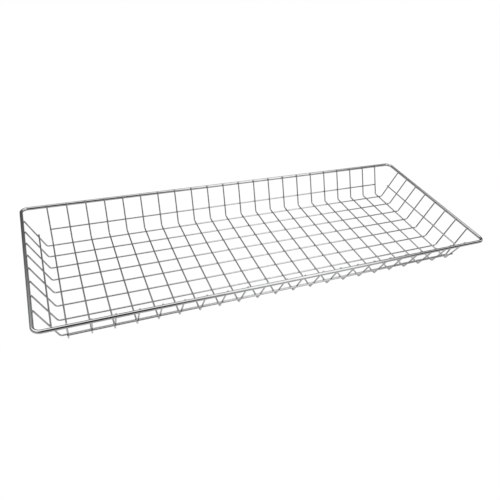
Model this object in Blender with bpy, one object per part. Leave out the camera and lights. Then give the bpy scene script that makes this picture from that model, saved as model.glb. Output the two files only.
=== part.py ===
"""Bakery wire basket: a shallow tray of welded round steel wire, hung inside a thick wire rim.

Every wire is its own object. The cross wires and the long wires are bent into wide U shapes and lie on
each other as a mesh, the long wires underneath. Their upright ends lean against the inner side of the
rim, and one straight stay wire ties each of the four walls at half height. Metres, +Z up, the long side
along X, standing on the floor at Z = 0 with the origin under its middle.
"""

import math

import bpy
from mathutils import Vector

# Rim: one thick wire bent into a rounded rectangle.
RIM_LENGTH = 0.600  # outside, along X
RIM_WIDTH = 0.2375  # outside, along Y
RIM_WIRE = 0.0045  # diameter
RIM_CORNER = 0.0085  # radius of a corner, to the wire's centre line
RIM_RISE = 0.0409  # from the cross wires' centre line up to the rim's

# Mesh: cross wires run front to back, long wires from end to end.
MESH_WIRE = 0.0020  # diameter
CROSS_COUNT = 22
LONG_COUNT = 8
WALL_LEAN = math.radians(25.5)  # of all four walls, outwards from upright
CROSS_BEND = 0.0025  # radius of a cross wire's bends, to its centre line
LONG_BEND = 0.0040  # radius of a long wire's bends, to its centre line
CROSS_MARGIN = 0.00775  # from the outermost cross wire to the long wires' bend, as if that were sharp
LONG_MARGIN = 0.00775  # from the outermost long wire to the cross wires' bend, as if that were sharp
CROSS_TIP_BACK = 0.0016  # how far a cross wire runs on past the rim's side at the back
CROSS_TIP_FRONT = 0.0003  # the same at the front
LONG_TIP = 0.0004  # how far a long wire runs on past the rim's side, at both ends

# Stays: one straight wire along each wall, measured up the slope from the sharp bend.
BACK_STAY_UP = 0.0155
FRONT_STAY_UP = 0.0145
END_STAY_UP = 0.0205
SIDE_STAY_PAST = 0.0012  # past the centre line of the outermost cross wire
END_STAY_PAST = 0.0020  # past the centre line of the outermost long wire

# Clearance between wires that the real basket welds together.
SEAT_GAP = 0.0003

# Finish: bright plated steel, a little brighter and smoother on the thick wire.
RIM_GREY = 0.40
RIM_ROUGHNESS = 0.15
MESH_GREY = 0.36
MESH_ROUGHNESS = 0.18

# Facets of the round wires.
MESH_SIDES = 8
RIM_SIDES = 12
BEND_STEPS = 4
CORNER_STEPS = 6
SHARP_ANGLE = math.radians(50)  # only the edges of the cut tips are sharper than this

LONG_HEIGHT = MESH_WIRE / 2
CROSS_HEIGHT = LONG_HEIGHT + MESH_WIRE + SEAT_GAP
RIM_HEIGHT = CROSS_HEIGHT + RIM_RISE
RIM_SEAT = (RIM_WIRE + MESH_WIRE) / 2 + SEAT_GAP
STAY_OFFSET = MESH_WIRE + SEAT_GAP


def clear_scene():
    """Empty the startup scene."""
    for thing in list(bpy.data.objects):
        bpy.data.objects.remove(thing)


def plated_steel(name, grey, roughness):
    """A bright plated steel finish."""
    material = bpy.data.materials.new(name)
    material.use_nodes = True
    shader = material.node_tree.nodes["Principled BSDF"]
    shader.inputs["Base Color"].default_value = (grey, grey, grey, 1.0)
    shader.inputs["Metallic"].default_value = 1.0
    shader.inputs["Roughness"].default_value = roughness
    return material


class Wall:
    """The upright part of a bent wire, in the wire's own plane.

    It leans outwards and passes the rim's centre line, on the inner side, at the distance RIM_SEAT. Its
    foot is where its slope meets the wire's level part, as if the bend were sharp. Points in the plane
    are (out, up).
    """

    def __init__(self, rim_half, base_height, bend_radius):
        self.along = Vector((math.sin(WALL_LEAN), math.cos(WALL_LEAN)))
        self.inward = Vector((-self.along.y, self.along.x))
        beside_rim = Vector((rim_half, RIM_HEIGHT)) + self.inward * RIM_SEAT
        self.length = (beside_rim.y - base_height) / self.along.y
        self.foot = beside_rim - self.along * self.length
        # A bend turns the wire from level to the wall's slope; half of that turn sets its run.
        self.half_turn = (math.pi / 2 - WALL_LEAN) / 2
        self.bend_radius = bend_radius
        self.bend_run = bend_radius * math.tan(self.half_turn)

    def at(self, up_slope, inwards=0.0):
        """The point this far up the slope, and this far inside the wire's centre line."""
        return self.foot + self.along * up_slope + self.inward * inwards

    def centre_line(self, past_rim):
        """Half of the wire, from where its bend begins to its tip."""
        centre = self.foot + Vector((-self.bend_run, self.bend_radius))
        points = []
        for step in range(BEND_STEPS + 1):
            turned = 2 * self.half_turn * step / BEND_STEPS
            points.append(centre + Vector((math.sin(turned), -math.cos(turned))) * self.bend_radius)
        points.append(self.at(self.length + past_rim))
        return points


def row_places(count, outermost):
    """Places of evenly spaced wires, from the one at -outermost to the one at +outermost."""
    return [outermost * (2 * index / (count - 1) - 1) for index in range(count)]


def swept_wire(name, path, across, diameter, sides, closed=False):
    """A faceted wire along a path that lies in one plane.

    across is the unit vector square to that plane. The facets lie at the wire's true radius, one of
    them faces square to the path in its plane, and each corner of the path is mitred.
    """
    count = len(path)
    corner_radius = diameter / 2 / math.cos(math.pi / sides)
    runs = [(path[(index + 1) % count] - path[index]).normalized() for index in range(count)]
    if not closed:
        runs[-1] = runs[-2]
    vertices = []
    for index, point in enumerate(path):
        arriving = runs[index - 1] if closed or index else runs[0]
        tangent = (arriving + runs[index]).normalized()
        sideways = tangent.cross(across)
        mitre = 1 / tangent.dot(arriving)
        for side in range(sides):
            angle = 2 * math.pi * (side + 0.5) / sides
            offset = across * math.cos(angle) + sideways * math.sin(angle) * mitre
            vertices.append(point + offset * corner_radius)
    faces = []
    for ring in range(count if closed else count - 1):
        here = ring * sides
        there = (ring + 1) % count * sides
        for side in range(sides):
            beside = (side + 1) % sides
            faces.append((here + side, here + beside, there + beside, there + side))
    if not closed:
        faces.append(tuple(range(sides))[::-1])
        faces.append(tuple(range((count - 1) * sides, count * sides)))
    mesh = bpy.data.meshes.new(name)
    mesh.from_pydata(vertices, [], faces)
    mesh.shade_smooth()
    mesh.set_sharp_from_angle(angle=SHARP_ANGLE)
    return mesh


def place(name, mesh, material, parent, location=(0.0, 0.0, 0.0), turn=0.0):
    """One object of the basket, turned about Z and set at its place."""
    if not mesh.materials:
        mesh.materials.append(material)
    thing = bpy.data.objects.new(name, mesh)
    thing.location = location
    thing.rotation_euler = (0.0, 0.0, turn)
    thing.parent = parent
    bpy.context.scene.collection.objects.link(thing)
    return thing


def bent_wire_path(wall, first_tip, last_tip, to_space):
    """The whole centre line of a U-shaped wire, in the basket's space.

    first_tip and last_tip are how far it runs on past the rim on its negative and on its positive side.
    """
    first = [to_space(-point.x, point.y) for point in reversed(wall.centre_line(first_tip))]
    last = [to_space(point.x, point.y) for point in wall.centre_line(last_tip)]
    return first + last


def rim_path():
    """The rim's centre line: four arcs joined by straight runs."""
    half_length = (RIM_LENGTH - RIM_WIRE) / 2 - RIM_CORNER
    half_width = (RIM_WIDTH - RIM_WIRE) / 2 - RIM_CORNER
    points = []
    for quarter, (side_x, side_y) in enumerate(((1, 1), (-1, 1), (-1, -1), (1, -1))):
        centre = Vector((side_x * half_length, side_y * half_width, 0.0))
        for step in range(CORNER_STEPS + 1):
            angle = (quarter + step / CORNER_STEPS) * math.pi / 2
            points.append(centre + Vector((math.cos(angle), math.sin(angle), 0.0)) * RIM_CORNER)
    return points


def stay_mesh(name, wall, half_length):
    """A straight stay wire along its wall, its facets lined up with the wall's slope."""
    path = [Vector((-half_length, 0.0, 0.0)), Vector((half_length, 0.0, 0.0))]
    slope = Vector((0.0, wall.along.x, wall.along.y))
    return swept_wire(name, path, slope, MESH_WIRE, MESH_SIDES)


def build():
    """Model the whole basket."""
    clear_scene()
    basket = bpy.data.objects.new("basket", None)
    bpy.context.scene.collection.objects.link(basket)
    rim_steel = plated_steel("bright_plated_rim_wire", RIM_GREY, RIM_ROUGHNESS)
    mesh_steel = plated_steel("bright_plated_mesh_wire", MESH_GREY, MESH_ROUGHNESS)
    stay_steel = plated_steel("bright_plated_stay_wire", MESH_GREY, MESH_ROUGHNESS)

    along_x = Vector((1.0, 0.0, 0.0))
    along_y = Vector((0.0, 1.0, 0.0))
    along_z = Vector((0.0, 0.0, 1.0))
    side_wall = Wall((RIM_WIDTH - RIM_WIRE) / 2, CROSS_HEIGHT, CROSS_BEND)
    end_wall = Wall((RIM_LENGTH - RIM_WIRE) / 2, LONG_HEIGHT, LONG_BEND)

    rim_mesh = swept_wire("rim", rim_path(), along_z, RIM_WIRE, RIM_SIDES, closed=True)
    place("rim", rim_mesh, rim_steel, basket, (0.0, 0.0, RIM_HEIGHT))

    cross_places = row_places(CROSS_COUNT, end_wall.foot.x - CROSS_MARGIN)
    cross_path = bent_wire_path(
        side_wall, CROSS_TIP_FRONT, CROSS_TIP_BACK, lambda out, up: Vector((0.0, out, up))
    )
    cross_mesh = swept_wire("cross_wire", cross_path, along_x, MESH_WIRE, MESH_SIDES)
    for index, x in enumerate(cross_places, 1):
        place(f"cross_wire_{index:02d}", cross_mesh, mesh_steel, basket, (x, 0.0, 0.0))

    long_places = row_places(LONG_COUNT, side_wall.foot.x - LONG_MARGIN)
    long_path = bent_wire_path(end_wall, LONG_TIP, LONG_TIP, lambda out, up: Vector((out, 0.0, up)))
    long_mesh = swept_wire("long_wire", long_path, along_y, MESH_WIRE, MESH_SIDES)
    for index, y in enumerate(long_places, 1):
        place(f"long_wire_{index}", long_mesh, mesh_steel, basket, (0.0, y, 0.0))

    # The side stays lie in the long wires' layer, outside the cross wires.
    side_stay = stay_mesh("side_stay", side_wall, cross_places[-1] + SIDE_STAY_PAST)
    back_seat = side_wall.at(BACK_STAY_UP, -STAY_OFFSET)
    place("side_stay_back", side_stay, stay_steel, basket, (0.0, back_seat.x, back_seat.y))
    front_seat = side_wall.at(FRONT_STAY_UP, -STAY_OFFSET)
    place("side_stay_front", side_stay, stay_steel, basket, (0.0, -front_seat.x, front_seat.y), math.pi)

    # The end stays lie in the cross wires' layer, inside the long wires.
    end_seat = end_wall.at(END_STAY_UP, STAY_OFFSET)
    end_stay = stay_mesh("end_stay", end_wall, long_places[-1] + END_STAY_PAST)
    place("end_stay_right", end_stay, stay_steel, basket, (end_seat.x, 0.0, end_seat.y), -math.pi / 2)
    place("end_stay_left", end_stay, stay_steel, basket, (-end_seat.x, 0.0, end_seat.y), math.pi / 2)


build()
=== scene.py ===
"""Looks of a bakery wire basket: a shallow tray of welded, bright plated round wire, hung inside a thick rim.

Every CAD wire is replaced by a finer one with round bends, die-drawn plated steel and sheared tips. The
small squeezed-out welds that hold the wires together are pieces of their own. All lengths are in metres,
with +Z up and the basket's long side along X, as in the CAD frame.
"""

import logging
import math
from dataclasses import dataclass, field
from enum import Enum

import bpy
import numpy as np
from mathutils import Matrix


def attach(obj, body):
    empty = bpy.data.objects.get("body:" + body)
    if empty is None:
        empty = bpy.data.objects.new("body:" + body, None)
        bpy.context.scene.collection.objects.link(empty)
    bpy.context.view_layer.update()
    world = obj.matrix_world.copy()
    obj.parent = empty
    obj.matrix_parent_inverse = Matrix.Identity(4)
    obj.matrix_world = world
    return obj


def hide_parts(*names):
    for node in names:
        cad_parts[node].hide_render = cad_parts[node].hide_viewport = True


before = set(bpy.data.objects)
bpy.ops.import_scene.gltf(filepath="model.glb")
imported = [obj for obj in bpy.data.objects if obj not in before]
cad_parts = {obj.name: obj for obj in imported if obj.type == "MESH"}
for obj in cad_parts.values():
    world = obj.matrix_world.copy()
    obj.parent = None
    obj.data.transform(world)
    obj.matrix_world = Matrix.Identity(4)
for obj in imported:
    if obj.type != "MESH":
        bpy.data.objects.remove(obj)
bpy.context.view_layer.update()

LOG = logging.getLogger("basket")
MM = 0.001
ALONG_X = np.array([1.0, 0.0, 0.0])
ALONG_Y = np.array([0.0, 1.0, 0.0])
ALONG_Z = np.array([0.0, 0.0, 1.0])

# The rings of a sheared tip: how far past the tip each lies, in millimetres, and its share of the radius.
WORN_TIP = np.array([[-0.16, 1.0], [-0.05, 0.955], [0.0, 0.86], [0.0, 0.42]])
# A shear leaves the face a few degrees off square, by this share of the radius on its outermost rings.
SHEAR_SLANT = 0.10
SLANTED_RINGS = 3

# A wire's pattern slides along it by so many millimetres for each metre of the wire's place, and a bent
# wire's starts over at the limit.
MESH_SLIDE = 7919.0
MESH_SLIDE_LIMIT = 4000.0
STAY_SLIDE = 5000.0

# The waves, in radians for each weld, by which the welds differ in size and in turn.
SWELL_WAVE = 2.399
SKEW_WAVE = 1.731
SKEW_START = 0.5

# Most of a noise texture's values lie between these.
NOISE_LOW = 0.35
NOISE_HIGH = 0.65


class Slot(Enum):
    """Names of the basket's material slots."""

    RIM = "rim_wire"
    MESH = "mesh_wire"
    STAY = "stay_wire"


class Side(Enum):
    """Which way a wall faces: its outward direction across the basket."""

    BACK = 1
    FRONT = -1
    RIGHT = 2
    LEFT = -2

    @property
    def sign(self) -> int:
        """1 for the back and the right, -1 for the front and the left."""
        return 1 if self.value > 0 else -1


def linear_colour(hex_code: str) -> tuple[float, float, float, float]:
    """Turn an sRGB hex colour into linear light.

    Args:
        hex_code: six hex digits after a hash sign.

    Returns:
        Linear red, green and blue, and an alpha of 1.
    """
    parts = [int(hex_code[i : i + 2], 16) / 255 for i in (1, 3, 5)]
    light = [c / 12.92 if c <= 0.04045 else ((c + 0.055) / 1.055) ** 2.4 for c in parts]
    return light[0], light[1], light[2], 1.0


def unit(vectors: np.ndarray) -> np.ndarray:
    """Scale vectors, held in the last axis, to length 1."""
    return vectors / np.linalg.norm(vectors, axis=-1, keepdims=True)


@dataclass
class Surface:
    """A mesh worked out as arrays, before it goes into Blender.

    vertices has a row for each point, faces lists index rows, drawn gives each vertex its place in the
    wire's own space (across, across, along, in millimetres), and cut marks the faces of a sheared end.
    """

    vertices: np.ndarray
    faces: list[list[int]]
    drawn: np.ndarray
    cut: np.ndarray

    def moved(self, shift: np.ndarray) -> "Surface":
        """The same surface at another place, with its pattern moved along so that no two are alike."""
        slide = ALONG_Z * (shift.sum() * MESH_SLIDE % MESH_SLIDE_LIMIT)
        return Surface(self.vertices + shift, self.faces, self.drawn + slide, self.cut)

    def piece(self, name: str, finishes: list[bpy.types.Material], sharp: float = 35.0) -> bpy.types.Object:
        """Put the surface into a new object that sits at the origin.

        Args:
            name: the object's name.
            finishes: the material of the surface, then that of its cut ends if it has any.
            sharp: edges that turn by more than this many degrees stay crisp.

        Returns:
            The new object.
        """
        mesh = bpy.data.meshes.new(name)
        mesh.from_pydata(self.vertices.tolist(), [], self.faces)
        mesh.attributes.new("drawn", "FLOAT_VECTOR", "POINT").data.foreach_set("vector", self.drawn.ravel())
        mesh.polygons.foreach_set("material_index", self.cut.astype(np.int32))
        for finish in finishes:
            mesh.materials.append(finish)
        mesh.shade_smooth()
        mesh.set_sharp_from_angle(angle=math.radians(sharp))
        mesh.update()
        thing = bpy.data.objects.new(name, mesh)
        bpy.context.scene.collection.objects.link(thing)
        return thing


def band_faces(rings: int, sides: int, closed: bool) -> np.ndarray:
    """The quads between neighbouring rings of a grid whose every ring closes on itself.

    Args:
        rings: how many rings the grid has.
        sides: how many vertices each ring has.
        closed: whether the last ring joins the first.

    Returns:
        An array with four vertex indices in each row.
    """
    ring = np.arange(rings if closed else rings - 1)[:, None]
    side = np.arange(sides)[None, :]
    here, there, beside = ring * sides, (ring + 1) % rings * sides, (side + 1) % sides
    quads = np.stack([here + side, here + beside, there + beside, there + side], axis=-1)
    return quads.reshape(-1, 4)


def swept_wire(path: np.ndarray, across: np.ndarray, radius: np.ndarray, sides: int, closed: bool) -> Surface:
    """A round wire along a path that lies in one plane.

    Point (i, j) is path[i] + radius[i] * (cos(t) * across + sin(t) * sideways[i]), where t is j turns out
    of sides, and sideways is the path's direction crossed with across. Open ends get a worn edge and a
    sheared face: three more rings that run in towards a pole at a slight slant.

    Args:
        path: centre line, a row for each point.
        across: unit vector square to the path's plane.
        radius: the wire's radius at each point.
        sides: vertices round the wire.
        closed: whether the path is a loop.

    Returns:
        The wire's surface.
    """
    steps = np.linalg.norm(np.diff(path, axis=0), axis=1)
    if closed:
        ahead = np.roll(path, -1, axis=0) - np.roll(path, 1, axis=0)
    else:
        ahead = np.gradient(path, axis=0)
        ahead[1:-1] = unit(path[2:] - path[1:-1]) + unit(path[1:-1] - path[:-2])
    tangent = unit(ahead)
    along = np.concatenate([[0.0], np.cumsum(steps)])
    centre, size = path, radius
    if not closed:
        reach, share = WORN_TIP[:, 0:1] * MM, WORN_TIP[:, 1]
        tip = path[-1] + tangent[-1] * reach
        root = path[0] - tangent[0] * reach
        centre = np.concatenate([root[::-1], path[1:-1], tip])
        size = np.concatenate([radius[0] * share[::-1], radius[1:-1], radius[-1] * share])
        first, last = (np.repeat(end, len(WORN_TIP), 0) for end in (tangent[:1], tangent[-1:]))
        tangent = np.concatenate([first, tangent[1:-1], last])
        along = np.concatenate([-reach[::-1, 0], along[1:-1], along[-1] + reach[:, 0]])
    sideways = np.cross(tangent, across)
    turn = 2 * math.pi * (np.arange(sides) + 0.5) / sides
    spoke = np.cos(turn)[None, :, None] * across + np.sin(turn)[None, :, None] * sideways[:, None, :]
    vertices = centre[:, None, :] + size[:, None, None] * spoke
    slant = np.zeros(len(centre))
    if not closed:
        slant[:SLANTED_RINGS] = SHEAR_SLANT
        slant[-SLANTED_RINGS:] = -SHEAR_SLANT
    vertices += (slant * size)[:, None, None] * np.cos(turn)[None, :, None] * tangent[:, None, :]
    rings = len(centre)
    around = np.stack([np.cos(turn), np.sin(turn)], axis=-1)[None] * size[:, None, None]
    drawn = np.concatenate([around, np.broadcast_to(along[:, None, None], (rings, sides, 1))], axis=-1)
    vertices, drawn = vertices.reshape(-1, 3), drawn.reshape(-1, 3) / MM
    quads = band_faces(rings, sides, closed)
    cut = np.zeros(len(quads), bool)
    faces = quads.tolist()
    if not closed:
        cut[: 2 * sides] = cut[-2 * sides :] = True
        poles = np.stack([path[0], path[-1]])
        vertices = np.concatenate([vertices, poles])
        drawn = np.concatenate([drawn, [[0, 0, along[0] / MM], [0, 0, along[-1] / MM]]])
        side = np.arange(sides)
        beside = (side + 1) % sides
        last = (rings - 1) * sides
        start = np.stack([beside, side, np.full(sides, rings * sides)], axis=-1)
        finish = np.stack([last + side, last + beside, np.full(sides, rings * sides + 1)], axis=-1)
        faces += start.tolist() + finish.tolist()
        cut = np.concatenate([cut, np.ones(2 * sides, bool)])
    return Surface(vertices, faces, drawn, cut)


@dataclass(frozen=True)
class Sizes:
    """The basket's own sizes, the same as the CAD model's but for what its welds change.

    The CAD model keeps a gap wherever two wires meet. Here a weld has pressed them into each other by
    set_down. So the cross wires lie 0.7 mm lower than there, the walls lean out 0.6 degrees more, and the
    stays, the bends and the tips lie less than 1 mm off. wall_lean is in degrees.
    """

    rim_length: float = 0.600
    rim_width: float = 0.2375
    rim_wire: float = 0.0045
    rim_corner: float = 0.0085
    rim_height: float = 0.0442
    mesh_wire: float = 0.0020
    cross_count: int = 22
    long_count: int = 8
    long_height: float = 0.0010
    wall_lean: float = 26.1
    cross_bend: float = 0.0022
    long_bend: float = 0.0040
    cross_outermost: float = 0.26546
    long_outermost: float = 0.08531
    cross_tip_back: float = 0.0016
    cross_tip_front: float = 0.0002
    long_tip: float = 0.0004
    back_stay_up: float = 0.0162
    front_stay_up: float = 0.0151
    end_stay_up: float = 0.0205
    side_stay_past: float = 0.0012
    end_stay_past: float = 0.0020
    set_down: float = 0.0004

    @property
    def rim_seat(self) -> float:
        """From the rim's centre line to that of a wire that is welded to it."""
        return (self.rim_wire + self.mesh_wire) / 2 - self.set_down

    @property
    def crossing(self) -> float:
        """Between the centre lines of two mesh wires that cross."""
        return self.mesh_wire - self.set_down

    @property
    def cross_height(self) -> float:
        """The height of the cross wires' centre line, on top of the long wires."""
        return self.long_height + self.crossing


@dataclass(frozen=True)
class Wall:
    """The upright part of a bent wire, in the wire's own plane, as (out, up).

    It leans out and passes the rim's centre line on its inner side. Its foot is where the slope would
    meet the level part if the bend were sharp.
    """

    sizes: Sizes
    rim_half: float
    base_height: float
    bend: float
    arc_points: int = 10
    slope_points: int = 7

    @property
    def slope(self) -> np.ndarray:
        """Unit vector up the wall."""
        lean = math.radians(self.sizes.wall_lean)
        return np.array([math.sin(lean), math.cos(lean)])

    @property
    def inward(self) -> np.ndarray:
        """Unit vector square to the wall, towards the inside."""
        return np.array([-self.slope[1], self.slope[0]])

    @property
    def beside_rim(self) -> np.ndarray:
        """Where the wire's centre line passes the rim."""
        return np.array([self.rim_half, self.sizes.rim_height]) + self.inward * self.sizes.rim_seat

    @property
    def length(self) -> float:
        """From the foot up to the rim."""
        return (self.beside_rim[1] - self.base_height) / self.slope[1]

    @property
    def foot(self) -> np.ndarray:
        """The sharp corner that the bend rounds off."""
        return self.beside_rim - self.slope * self.length

    def at(self, up: float, inwards: float = 0.0) -> np.ndarray:
        """The point this far up the wall and this far inside the wire's centre line."""
        return self.foot + self.slope * up + self.inward * inwards

    def half_line(self, past_rim: float, level_steps: int) -> np.ndarray:
        """Half of the wire's centre line, from its middle to its tip.

        It is a level run, then an arc about a centre one bend radius above the run, where a point is
        centre + radius * (sin(a), -cos(a)) for a from 0 to the wall's turn, and then a straight slope.

        Args:
            past_rim: how far the tip stands past the rim's centre line.
            level_steps: points on the level run.

        Returns:
            Rows of (out, up).
        """
        radius = self.bend
        turn = math.radians(90 - self.sizes.wall_lean)
        run = radius * math.tan(turn / 2)
        centre = self.foot + np.array([-run, radius])
        angle = np.linspace(0, turn, self.arc_points)[:, None]
        arc = centre + radius * np.concatenate([np.sin(angle), -np.cos(angle)], axis=1)
        level = np.linspace([0.0, self.base_height], arc[0], level_steps, endpoint=False)
        top = self.at(self.length + past_rim)
        rise = np.linspace(arc[-1], top, self.slope_points)[1:]
        return np.concatenate([level, arc, rise])


def both_halves(left: np.ndarray, right: np.ndarray) -> np.ndarray:
    """A whole U-shaped centre line from two halves that start in the middle; the left one is mirrored."""
    return np.concatenate([left[:0:-1] * np.array([-1.0, 1.0]), right])


def even_places(count: int, outermost: float) -> np.ndarray:
    """Places of evenly spaced wires, from -outermost to +outermost."""
    return np.linspace(-outermost, outermost, count)


@dataclass(frozen=True)
class PlatedWire:
    """Nickel-chrome plate over cold-drawn low-carbon steel wire.

    Drawing through a die leaves fine lines along the wire and plating in a rack leaves slow cloudy
    changes. The eye gets a cool bright mirror that is softened a little, and streaked along the wire.
    cloud_span is the noise level at which the clouded grey ends and the one at which the bright grey
    begins, and line_share is how far the gloss follows the die lines instead of the clouds.
    """

    name: str
    bright: str = "#A0A2A2"
    clouded: str = "#979999"
    smooth: float = 0.09
    dull: float = 0.14
    line_pitch_mm: float = 0.45
    line_length_mm: float = 55.0
    line_strength: float = 0.35
    line_depth_mm: float = 0.03
    line_share: float = 0.35
    cloud_mm: float = 9.0
    cloud_span: tuple[float, float] = (0.36, 0.62)

    def material(self) -> bpy.types.Material:
        """Build the material from its node tree."""
        material, tree, shader = plated_metal(self.name)
        place = add(tree, "ShaderNodeAttribute", attribute_name="drawn")
        # Real die lines are about 0.05 mm apart. They are drawn at half a millimetre, so that they show.
        across = 1 / self.line_pitch_mm
        drawn_out = (across, across, 1 / self.line_length_mm)
        lines_at = add(tree, "ShaderNodeMapping", {"Vector": place.outputs["Vector"], "Scale": drawn_out})
        lines = add(tree, "ShaderNodeTexNoise", {"Vector": lines_at.outputs[0], "Scale": 1.0, "Detail": 3.0})
        even = (1 / self.cloud_mm,) * 3
        cloud_at = add(tree, "ShaderNodeMapping", {"Vector": place.outputs["Vector"], "Scale": even})
        soft = {"Vector": cloud_at.outputs[0], "Scale": 1.0, "Detail": 4.0, "Roughness": 0.6}
        cloud = add(tree, "ShaderNodeTexNoise", soft)
        tint = add(tree, "ShaderNodeValToRGB", {"Fac": cloud.outputs[0]})
        low, high = tint.color_ramp.elements
        low.position, high.position = self.cloud_span
        low.color, high.color = linear_colour(self.clouded), linear_colour(self.bright)
        blend = {"Factor": self.line_share, "A": cloud.outputs[0], "B": lines.outputs[0]}
        streak = add(tree, "ShaderNodeMix", blend)
        polish = {"From Min": NOISE_LOW, "From Max": NOISE_HIGH, "To Min": self.dull, "To Max": self.smooth}
        gloss = add(tree, "ShaderNodeMapRange", {"Value": streak.outputs[0], **polish})
        depth = self.line_depth_mm * MM
        groove = {"Height": lines.outputs[0], "Strength": self.line_strength, "Distance": depth}
        relief = add(tree, "ShaderNodeBump", groove)
        tree.links.new(tint.outputs[0], shader.inputs["Base Color"])
        tree.links.new(gloss.outputs[0], shader.inputs["Roughness"])
        tree.links.new(relief.outputs[0], shader.inputs["Normal"])
        return material


@dataclass(frozen=True)
class WeldMetal:
    """Squeezed-out steel of a resistance weld, plated over.

    It froze rough before it was plated, so it is a darker, duller spot than the drawn wire beside it.
    grain_span is the noise level at which the dark grey ends and the one at which the pale grey begins.
    """

    name: str
    pale: str = "#A0A1A1"
    dark: str = "#868887"
    smooth: float = 0.30
    dull: float = 0.52
    grain_mm: float = 0.55
    grain_span: tuple[float, float] = (0.34, 0.66)
    pit_strength: float = 0.6
    pit_depth_mm: float = 0.1

    def material(self) -> bpy.types.Material:
        """Build the material from its node tree."""
        material, tree, shader = plated_metal(self.name)
        place = add(tree, "ShaderNodeTexCoord")
        scale = 1 / (self.grain_mm * MM)
        rough = {"Vector": place.outputs["Object"], "Scale": scale, "Detail": 3.0}
        grain = add(tree, "ShaderNodeTexNoise", rough)
        tint = add(tree, "ShaderNodeValToRGB", {"Fac": grain.outputs[0]})
        low, high = tint.color_ramp.elements
        low.position, high.position = self.grain_span
        low.color, high.color = linear_colour(self.dark), linear_colour(self.pale)
        polish = {"Value": grain.outputs[0], "To Min": self.dull, "To Max": self.smooth}
        gloss = add(tree, "ShaderNodeMapRange", polish)
        depth = self.pit_depth_mm * MM
        pitted = {"Height": grain.outputs[0], "Strength": self.pit_strength, "Distance": depth}
        relief = add(tree, "ShaderNodeBump", pitted)
        tree.links.new(tint.outputs[0], shader.inputs["Base Color"])
        tree.links.new(gloss.outputs[0], shader.inputs["Roughness"])
        tree.links.new(relief.outputs[0], shader.inputs["Normal"])
        return material


@dataclass(frozen=True)
class ShearedEnd:
    """The face that a shear leaves on a steel wire, plated over.

    Half of it is burnished by the blade and half is torn, so it is matt grey with streaks across, each
    streak_length times as long as it is wide.
    """

    name: str
    pale: str = "#B4B5B5"
    dark: str = "#7C7D7D"
    smooth: float = 0.32
    dull: float = 0.50
    streak_mm: float = 0.35
    streak_length: float = 4.0

    def material(self) -> bpy.types.Material:
        """Build the material from its node tree."""
        material, tree, shader = plated_metal(self.name)
        place = add(tree, "ShaderNodeAttribute", attribute_name="drawn")
        scale = (1 / self.streak_mm, 1 / (self.streak_length * self.streak_mm), 1.0)
        spot = add(tree, "ShaderNodeMapping", {"Vector": place.outputs["Vector"], "Scale": scale})
        streak = add(tree, "ShaderNodeTexNoise", {"Vector": spot.outputs[0], "Scale": 1.0, "Detail": 4.0})
        tint = add(tree, "ShaderNodeValToRGB", {"Fac": streak.outputs[0]})
        low, high = tint.color_ramp.elements
        low.position, high.position = NOISE_LOW, NOISE_HIGH
        low.color, high.color = linear_colour(self.dark), linear_colour(self.pale)
        polish = {"Value": streak.outputs[0], "To Min": self.dull, "To Max": self.smooth}
        gloss = add(tree, "ShaderNodeMapRange", polish)
        tree.links.new(tint.outputs[0], shader.inputs["Base Color"])
        tree.links.new(gloss.outputs[0], shader.inputs["Roughness"])
        return material


def plated_metal(name: str) -> tuple[bpy.types.Material, bpy.types.NodeTree, bpy.types.Node]:
    """A new metal material.

    Args:
        name: the material's name.

    Returns:
        The material, its node tree, and the shader node in it.
    """
    material = bpy.data.materials.new(name)
    material.use_nodes = True
    shader = material.node_tree.nodes["Principled BSDF"]
    shader.inputs["Metallic"].default_value = 1.0
    return material, material.node_tree, shader


def add(
    tree: bpy.types.NodeTree, kind: str, inputs: dict | None = None, **settings: object
) -> bpy.types.Node:
    """Add a node with its settings, values and links.

    Args:
        tree: the tree that gets the node.
        kind: the node's type name.
        inputs: for each input's name, a value or the output socket to link it to.
        settings: attributes of the node itself.

    Returns:
        The new node.
    """
    node = tree.nodes.new(kind)
    for key, value in settings.items():
        setattr(node, key, value)
    for key, value in (inputs or {}).items():
        if isinstance(value, bpy.types.NodeSocket):
            tree.links.new(value, node.inputs[key])
        else:
            node.inputs[key].default_value = value
    return node


@dataclass
class Finishes:
    """Every finish of the basket, built once."""

    rim: bpy.types.Material = field(init=False)
    mesh: bpy.types.Material = field(init=False)
    stay: bpy.types.Material = field(init=False)
    weld: bpy.types.Material = field(init=False)
    end: bpy.types.Material = field(init=False)

    def __post_init__(self) -> None:
        """Build the materials."""
        self.rim = PlatedWire("plated_rim_wire", smooth=0.08, dull=0.12, cloud_mm=14.0).material()
        self.mesh = PlatedWire("plated_mesh_wire").material()
        # The stays are the same plated wire as the mesh; their slightly darker greys are painted shade.
        self.stay = PlatedWire("plated_stay_wire_painted_shade", bright="#9EA0A0", clouded="#959797").material()
        self.weld = WeldMetal("plated_weld_metal").material()
        self.end = ShearedEnd("plated_sheared_end").material()


def settle(piece: bpy.types.Object, replaced: str | None = None) -> None:
    """Hold a piece on the basket, hide the CAD node that it stands for, and log its name and face count.

    Args:
        piece: the finished object.
        replaced: the CAD node that it is shown in place of.
    """
    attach(piece, "root")
    if replaced:
        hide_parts(replaced)
    LOG.info("%s: %d faces", piece.name, len(piece.data.polygons))


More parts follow.
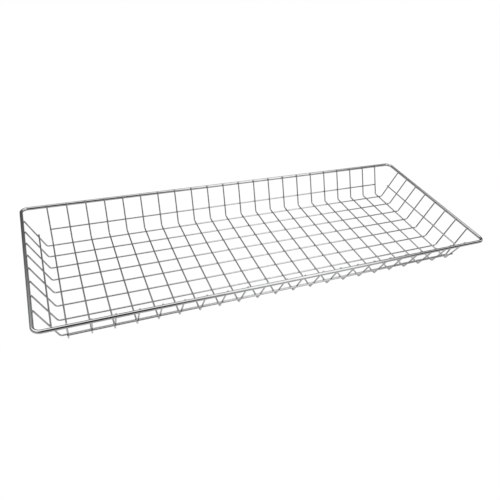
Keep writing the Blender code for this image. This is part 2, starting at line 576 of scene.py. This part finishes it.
@dataclass
class Rim:
    """The thick wire loop round the top."""

    sizes: Sizes
    finishes: Finishes
    sides: int = 32
    corner_steps: int = 14
    straight_steps: int = 16

    def centre_line(self) -> np.ndarray:
        """The loop, anticlockwise from above.

        Each corner is an arc, centre + radius * (cos(a), sin(a)) over a quarter turn, and the straight runs
        between are cut into even steps.
        """
        s = self.sizes
        half = np.array([s.rim_length, s.rim_width]) / 2 - s.rim_wire / 2 - s.rim_corner
        rows = []
        for quarter, signs in enumerate(((1, 1), (-1, 1), (-1, -1), (1, -1))):
            angle = (quarter + np.linspace(0, 1, self.corner_steps)[:, None]) * math.pi / 2
            rows.append(half * signs + s.rim_corner * np.concatenate([np.cos(angle), np.sin(angle)], axis=1))
        runs = []
        for here, there in zip(rows, rows[1:] + rows[:1]):
            runs += [here, np.linspace(here[-1], there[0], self.straight_steps + 1)[1:-1]]
        flat = np.concatenate(runs)
        return np.column_stack([flat, np.full(len(flat), s.rim_height)])

    def build(self) -> None:
        """Make the rim."""
        line = self.centre_line()
        radius = np.full(len(line), self.sizes.rim_wire / 2)
        surface = swept_wire(line, ALONG_Z, radius, self.sides, closed=True)
        settle(surface.piece("bent_rim", [self.finishes.rim]), "rim")


@dataclass
class BentWires:
    """The U-shaped wires of the mesh: the cross wires, and under them the long wires."""

    sizes: Sizes
    finishes: Finishes
    sides: int = 18
    cross_level_steps: int = 8
    long_level_steps: int = 20

    @property
    def side_wall(self) -> Wall:
        """The wall that the cross wires make along the front and the back."""
        s = self.sizes
        return Wall(s, (s.rim_width - s.rim_wire) / 2, s.cross_height, s.cross_bend)

    @property
    def end_wall(self) -> Wall:
        """The wall that the long wires make at the left and the right."""
        s = self.sizes
        return Wall(s, (s.rim_length - s.rim_wire) / 2, s.long_height, s.long_bend)

    def cross_places(self) -> np.ndarray:
        """Where the cross wires stand along X."""
        return even_places(self.sizes.cross_count, self.sizes.cross_outermost)

    def long_places(self) -> np.ndarray:
        """Where the long wires stand along Y."""
        return even_places(self.sizes.long_count, self.sizes.long_outermost)

    def cross_wire(self) -> Surface:
        """A cross wire in the middle of the basket: its two halves differ only in their tips."""
        s = self.sizes
        front = self.side_wall.half_line(s.cross_tip_front, self.cross_level_steps)
        back = self.side_wall.half_line(s.cross_tip_back, self.cross_level_steps)
        flat = both_halves(front, back)
        line = np.column_stack([np.zeros(len(flat)), flat])
        return swept_wire(line, ALONG_X, np.full(len(line), s.mesh_wire / 2), self.sides, closed=False)

    def long_wire(self) -> Surface:
        """A long wire in the middle of the basket, the same at both ends."""
        s = self.sizes
        half = self.end_wall.half_line(s.long_tip, self.long_level_steps)
        flat = both_halves(half, half)
        line = np.column_stack([flat[:, 0], np.zeros(len(flat)), flat[:, 1]])
        return swept_wire(line, ALONG_Y, np.full(len(line), s.mesh_wire / 2), self.sides, closed=False)

    def build(self) -> None:
        """Make all the bent wires, each as a piece of its own."""
        finishes = [self.finishes.mesh, self.finishes.end]
        wire = self.cross_wire()
        for index, x in enumerate(self.cross_places(), 1):
            name = f"cross_wire_{index:02d}"
            settle(wire.moved(x * ALONG_X).piece(f"drawn_{name}", finishes), name)
        wire = self.long_wire()
        for index, y in enumerate(self.long_places(), 1):
            name = f"long_wire_{index}"
            settle(wire.moved(y * ALONG_Y).piece(f"drawn_{name}", finishes), name)


@dataclass
class Stays:
    """The four straight wires that tie the walls at half height."""

    sizes: Sizes
    finishes: Finishes
    wires: BentWires
    sides: int = 18
    points: int = 16

    def side_seat(self, side: Side, share: float = 1.0) -> np.ndarray:
        """Where a side stay crosses a cross wire, as (y, z); share 0.5 is the point where they touch."""
        height = self.sizes.back_stay_up if side is Side.BACK else self.sizes.front_stay_up
        out, up = self.wires.side_wall.at(height, -self.sizes.crossing * share)
        return np.array([side.sign * out, up])

    def end_seat(self, side: Side, share: float = 1.0) -> np.ndarray:
        """Where an end stay crosses a long wire, as (x, z); share 0.5 is the point where they touch."""
        out, up = self.wires.end_wall.at(self.sizes.end_stay_up, self.sizes.crossing * share)
        return np.array([side.sign * out, up])

    def stay(self, name: str, start: np.ndarray, stop: np.ndarray) -> None:
        """One straight stay.

        Args:
            name: the CAD node that it stands for.
            start: the middle of its first tip.
            stop: the middle of its last tip.
        """
        line = np.linspace(start, stop, self.points)
        radius = np.full(len(line), self.sizes.mesh_wire / 2)
        surface = swept_wire(line, ALONG_Z, radius, self.sides, closed=False)
        surface.drawn[:, 2] += start.sum() * STAY_SLIDE
        settle(surface.piece(f"drawn_{name}", [self.finishes.stay, self.finishes.end]), name)

    def build(self) -> None:
        """Make the two side stays and the two end stays."""
        reach = self.wires.cross_places()[-1] + self.sizes.side_stay_past
        for name, side in (("side_stay_back", Side.BACK), ("side_stay_front", Side.FRONT)):
            y, z = self.side_seat(side)
            self.stay(name, np.array([-reach, y, z]), np.array([reach, y, z]))
        reach = self.wires.long_places()[-1] + self.sizes.end_stay_past
        for name, side in (("end_stay_right", Side.RIGHT), ("end_stay_left", Side.LEFT)):
            x, z = self.end_seat(side)
            self.stay(name, np.array([x, -reach, z]), np.array([x, reach, z]))


@dataclass
class Welds:
    """The flattened beads that resistance welding squeezes out between crossing wires."""

    sizes: Sizes
    finishes: Finishes
    wires: BentWires
    stays: Stays
    mesh_half: tuple[float, float, float] = (0.00130, 0.00130, 0.00050)
    stay_half: tuple[float, float, float] = (0.00125, 0.00125, 0.00050)
    rim_half: tuple[float, float, float] = (0.00115, 0.00115, 0.00045)
    sides: int = 8
    ring_angles: tuple[float, ...] = (-48.0, 0.0, 48.0)
    lobe: float = 0.16
    swell: float = 0.10
    skew: float = 0.16

    def bead(self, half: tuple[float, float, float]) -> tuple[np.ndarray, list[list[int]]]:
        """One closed bead about the origin: a flattened ball, drawn out towards the four gaps.

        On the ring of angle b, at the height sin(b), the outline is cos(b) * (1 + lobe * (1 - cos(4t)) / 2).
        It is widest halfway between the two wires that cross on it.

        Args:
            half: half of its size along the first wire, along the second, and through the contact.

        Returns:
            Its vertices, and its faces.
        """
        sides = self.sides
        height = np.radians(self.ring_angles)[:, None]
        turn = 2 * math.pi * np.arange(sides) / sides
        outline = np.cos(height) * (1 + self.lobe * (1 - np.cos(4 * turn)) / 2)
        level = np.sin(height) + 0 * turn
        rings = np.stack([outline * np.cos(turn), outline * np.sin(turn), level], axis=-1)
        vertices = np.concatenate([rings.reshape(-1, 3), [[0, 0, -1], [0, 0, 1]]]) * np.array(half)
        side = np.arange(sides)
        beside = (side + 1) % sides
        last = (len(height) - 1) * sides
        pole = np.full(sides, len(height) * sides)
        low = np.stack([beside, side, pole], axis=-1)
        high = np.stack([last + side, last + beside, pole + 1], axis=-1)
        return vertices, band_faces(len(height), sides, False).tolist() + low.tolist() + high.tolist()

    def group(
        self,
        name: str,
        half: tuple[float, float, float],
        places: np.ndarray,
        first: np.ndarray,
        second: np.ndarray,
    ) -> None:
        """Put a bead at each place, as one piece.

        Each is turned a little and sized a little differently, by a fixed wave of its number, because no
        two welds come out the same.

        Args:
            name: the piece's name.
            half: half of a bead's size, along the first direction, the second and through the contact.
            places: a row for each bead.
            first: unit vector along one wire, for each bead.
            second: unit vector along the other wire, for each bead.
        """
        shape, faces = self.bead(half)
        count = len(places)
        number = np.arange(count)
        swell = 1 + self.swell * np.sin(number * SWELL_WAVE)[:, None]
        skew = self.skew * np.sin(number * SKEW_WAVE + SKEW_START)[:, None]
        through = np.cross(first, second)
        along = first * np.cos(skew) + second * np.sin(skew)
        beside = second * np.cos(skew) - first * np.sin(skew)
        axes = np.stack([along * swell, beside * swell, through], axis=1)
        vertices = places[:, None, :] + np.einsum("vk,nkc->nvc", shape, axes)
        listed = [[corner + bead * len(shape) for corner in face] for bead in range(count) for face in faces]
        drawn = np.tile(shape / MM, (count, 1))
        surface = Surface(vertices.reshape(-1, 3), listed, drawn, np.zeros(len(listed), bool))
        settle(surface.piece(name, [self.finishes.weld], sharp=180.0))

    def build(self) -> None:
        """Make the welds of the base, of the stays and of the rim."""
        s = self.sizes
        xs, ys = self.wires.cross_places(), self.wires.long_places()
        grid_x, grid_y = (g.ravel() for g in np.meshgrid(xs, ys))
        height = (s.cross_height + s.long_height) / 2
        places = np.column_stack([grid_x, grid_y, np.full(grid_x.size, height)])
        first, second = self.spread(ALONG_X, places), self.spread(ALONG_Y, places)
        self.group("mesh_welds", self.mesh_half, places, first, second)
        stay_places, stay_first, stay_second = [], [], []
        rim_places, rim_first, rim_second = [], [], []
        for side in Side:
            is_end = side in (Side.LEFT, Side.RIGHT)
            wall = self.wires.end_wall if is_end else self.wires.side_wall
            spots = ys if is_end else xs
            level = ALONG_Y if is_end else ALONG_X
            out = (ALONG_X if is_end else ALONG_Y) * side.sign
            slope = out * wall.slope[0] + ALONG_Z * wall.slope[1]
            seat = self.stays.end_seat(side, 0.5) if is_end else self.stays.side_seat(side, 0.5)
            touch = wall.at(wall.length, -s.crossing / 2)
            for found, first, second, (outwards, up) in (
                (stay_places, stay_first, stay_second, (abs(seat[0]), seat[1])),
                (rim_places, rim_first, rim_second, touch),
            ):
                spot = spots[:, None] * level + out * outwards + ALONG_Z * up
                found.append(spot)
                first.append(self.spread(level, spot))
                second.append(self.spread(slope, spot))
        for name, slot, half, found, first, second in (
            ("stay_welds", Slot.STAY, self.stay_half, stay_places, stay_first, stay_second),
            ("rim_welds", Slot.RIM, self.rim_half, rim_places, rim_first, rim_second),
        ):
            self.group(name, half, np.concatenate(found), np.concatenate(first), np.concatenate(second))

    @staticmethod
    def spread(direction: np.ndarray, places: np.ndarray) -> np.ndarray:
        """The same direction for every place."""
        return np.broadcast_to(direction, places.shape)


@dataclass(frozen=True)
class Glow:
    """A soft patch of light on the white cloth of the light tent, or a dark one.

    azimuth is turned from +X towards +Y and elevation is above the floor, both in degrees, as the middle of
    the basket sees it. In a direction that makes the angle a with them the patch adds
    peak * exp(tightness * (cos(a) - 1)), where 1 is white. A peak below 0 is a black card.
    """

    azimuth: float
    elevation: float
    tightness: float
    peak: float

    @property
    def direction(self) -> tuple[float, float, float]:
        """Unit vector towards the middle of the patch."""
        turn, rise = math.radians(self.azimuth), math.radians(self.elevation)
        return math.cos(rise) * math.cos(turn), math.cos(rise) * math.sin(turn), math.sin(rise)


@dataclass
class LightTent:
    """A dome of white cloth round the basket, lit from outside by a few soft lamps.

    A wire shows a long thin picture of whatever is round it, so the lamps stand where the bright bands on
    the photographed wires say. The patch at azimuth 215 and the dimmest level light the sides that the
    photograph doesn't show. The cloth never gets brighter than its brightest allows, so that plated wire
    keeps its own grey.
    """

    radius: float = 1.6
    step_degrees: int = 5
    brightest: float = 2.58
    dimmest: float = 0.05
    glows: tuple[Glow, ...] = (
        Glow(25.6, 71.1, 17.4, 6.06),
        Glow(314.3, 51.7, 22.9, 6.06),
        Glow(301.6, 25.0, 23.7, 6.06),
        Glow(357.3, 27.2, 25.0, 6.06),
        Glow(159.1, 59.3, 10.5, 4.29),
        Glow(45.6, 42.1, 8.2, 1.65),
        Glow(356.0, 43.0, 40.0, 1.9),
        Glow(215.0, 28.0, 12.0, 0.8),
        Glow(339.8, 20.2, 3.0, -4.15),
    )

    def cloth(self) -> bpy.types.Material:
        """The lit cloth: the sum of its patches, held between its dimmest and its brightest."""
        material = bpy.data.materials.new("lit_white_cloth")
        material.use_nodes = True
        tree = material.node_tree
        tree.nodes.remove(tree.nodes["Principled BSDF"])
        place = add(tree, "ShaderNodeTexCoord")
        towards = add(tree, "ShaderNodeVectorMath", {0: place.outputs["Object"]}, operation="NORMALIZE")
        level = None
        for glow in self.glows:
            pair = {0: towards.outputs[0], 1: glow.direction}
            along = add(tree, "ShaderNodeVectorMath", pair, operation="DOT_PRODUCT")
            slope = {0: along.outputs["Value"], 1: glow.tightness, 2: -glow.tightness}
            fall = add(tree, "ShaderNodeMath", slope, operation="MULTIPLY_ADD")
            share = add(tree, "ShaderNodeMath", {0: fall.outputs[0]}, operation="EXPONENT")
            added = {0: share.outputs[0], 1: glow.peak, 2: level or 0.0}
            level = add(tree, "ShaderNodeMath", added, operation="MULTIPLY_ADD").outputs[0]
        held = add(tree, "ShaderNodeClamp", {"Value": level, "Min": self.dimmest, "Max": self.brightest})
        light = add(tree, "ShaderNodeEmission", {"Strength": held.outputs[0]})
        tree.links.new(light.outputs[0], tree.nodes["Material Output"].inputs["Surface"])
        return material

    def build(self) -> None:
        """Put up the dome, open below and unseen by the camera.

        Point (b, t) on the half ball is radius * (cos(b) cos(t), cos(b) sin(t), sin(b)), with a pole on top.
        """
        turn = np.radians(np.arange(0, 360, self.step_degrees))
        rise = np.radians(np.arange(0, 90, self.step_degrees))[:, None]
        level = np.sin(rise) + 0 * turn
        rings = np.stack([np.cos(rise) * np.cos(turn), np.cos(rise) * np.sin(turn), level], axis=-1)
        vertices = np.concatenate([rings.reshape(-1, 3), [ALONG_Z]]) * self.radius
        last, side = (len(rise) - 1) * len(turn), np.arange(len(turn))
        pole = np.full(len(turn), len(vertices) - 1)
        cap = np.stack([last + side, last + (side + 1) % len(turn), pole], axis=-1)
        faces = band_faces(len(rise), len(turn), False).tolist() + cap.tolist()
        mesh = bpy.data.meshes.new("light_tent")
        mesh.from_pydata(vertices.tolist(), [], faces)
        mesh.materials.append(self.cloth())
        thing = bpy.data.objects.new("light_tent", mesh)
        bpy.context.scene.collection.objects.link(thing)
        thing.visible_camera = False


@dataclass(frozen=True)
class View:
    """The photograph's point of view: a camera fitted to the wires' crossings.

    right, up and back are the camera's own axes, as unit vectors.
    """

    lens_mm: float = 35.880
    sensor_mm: float = 36.0
    nearest: float = 0.01
    place: tuple[float, float, float] = (-0.25955, -0.50502, 0.42980)
    right: tuple[float, float, float] = (0.92146, -0.37751, 0.09164)
    up: tuple[float, float, float] = (0.16212, 0.58807, 0.79240)
    back: tuple[float, float, float] = (-0.35302, -0.71531, 0.60308)

    def build(self) -> None:
        """Set up the camera."""
        data = bpy.data.cameras.new("camera")
        data.lens = self.lens_mm
        data.sensor_width = self.sensor_mm
        data.clip_start = self.nearest
        thing = bpy.data.objects.new("camera", data)
        turn = Matrix((self.right, self.up, self.back)).transposed().to_4x4()
        thing.matrix_world = Matrix.Translation(self.place) @ turn
        bpy.context.scene.collection.objects.link(thing)
        bpy.context.scene.camera = thing


@dataclass
class Studio:
    """The white floor, the light tent and the camera.

    Rays from the camera and from shiny metal see the floor as its seen_share of plain white, of strength
    white, and the rest of it as lit paper, which holds the basket's faint shadow.
    """

    floor_half: float = 6.0
    paper: str = "#FAFAFA"
    paper_roughness: float = 0.9
    seen_share: float = 0.985
    white: float = 1.006
    room: str = "#F0F0F0"
    tent: LightTent = field(default_factory=LightTent)
    view: View = field(default_factory=View)

    def floor(self) -> None:
        """A white floor that the camera and the metal see as white, with the basket's faint shadow."""
        half = self.floor_half
        mesh = bpy.data.meshes.new("floor")
        corners = [(-half, -half, 0), (half, -half, 0), (half, half, 0), (-half, half, 0)]
        mesh.from_pydata(corners, [], [(0, 1, 2, 3)])
        material = bpy.data.materials.new("white_paper")
        material.use_nodes = True
        tree = material.node_tree
        paper = tree.nodes["Principled BSDF"]
        paper.inputs["Base Color"].default_value = linear_colour(self.paper)
        paper.inputs["Roughness"].default_value = self.paper_roughness
        rays = add(tree, "ShaderNodeLightPath")
        seen = rays.outputs["Is Camera Ray"]
        for kind in ("Is Glossy Ray", "Is Transmission Ray"):
            pair = {0: seen, 1: rays.outputs[kind]}
            seen = add(tree, "ShaderNodeMath", pair, operation="MAXIMUM").outputs[0]
        share = add(tree, "ShaderNodeMath", {0: seen, 1: self.seen_share}, operation="MULTIPLY")
        white = add(tree, "ShaderNodeEmission", {"Strength": self.white})
        layers = {0: share.outputs[0], 1: paper.outputs[0], 2: white.outputs[0]}
        mixed = add(tree, "ShaderNodeMixShader", layers)
        tree.links.new(mixed.outputs[0], tree.nodes["Material Output"].inputs["Surface"])
        mesh.materials.append(material)
        thing = bpy.data.objects.new("floor", mesh)
        bpy.context.scene.collection.objects.link(thing)

    def world(self) -> None:
        """White where the camera sees it, and a pale room outside the tent."""
        world = bpy.data.worlds.new("studio")
        bpy.context.scene.world = world
        world.use_nodes = True
        tree = world.node_tree
        rays = add(tree, "ShaderNodeLightPath")
        room = tree.nodes["Background"]
        room.inputs["Color"].default_value = linear_colour(self.room)
        white = add(tree, "ShaderNodeBackground", {"Strength": 1.0, "Color": (1, 1, 1, 1)})
        layers = {0: rays.outputs["Is Camera Ray"], 1: room.outputs[0], 2: white.outputs[0]}
        mixed = add(tree, "ShaderNodeMixShader", layers)
        tree.links.new(mixed.outputs[0], tree.nodes["World Output"].inputs["Surface"])

    def build(self) -> None:
        """Make the studio."""
        self.floor()
        self.world()
        self.tent.build()
        self.view.build()
        bpy.context.scene.view_settings.view_transform = "Standard"


def main() -> None:
    """Build the basket and its studio, and note how large it came out."""
    logging.basicConfig(level=logging.INFO, format="%(message)s")
    sizes, finishes = Sizes(), Finishes()
    Rim(sizes, finishes).build()
    wires = BentWires(sizes, finishes)
    wires.build()
    stays = Stays(sizes, finishes, wires)
    stays.build()
    Welds(sizes, finishes, wires, stays).build()
    Studio().build()


if __name__ == "__main__":
    main()
